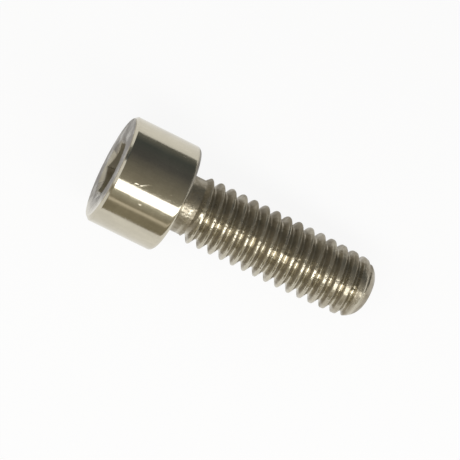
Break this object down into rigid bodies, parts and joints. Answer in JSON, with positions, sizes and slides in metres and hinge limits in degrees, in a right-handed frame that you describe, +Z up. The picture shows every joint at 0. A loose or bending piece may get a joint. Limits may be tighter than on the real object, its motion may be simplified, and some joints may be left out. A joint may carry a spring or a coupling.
{
  "type": "hex socket cap screw",
  "caption": "Metric cap screw with a plain cylindrical head, a hexagonal key socket, a short plain neck and a coarse thread to its rounded end.",
  "frame": {"origin": "on the surface that the screw lies on, under the middle of its bounding box", "axes": "+Z up; +X along the lying screw from its head to its tip, whose axis leans down towards the tip; +Y across it"},
  "size_m": [0.0164, 0.0064, 0.0067],
  "materials": {
    "nickel_plate": "bright nickel plating, lightly worn"
  },
  "bodies": {
    "root": {"cap_screw": "nickel_plate"}
  },
  "joints": []
}
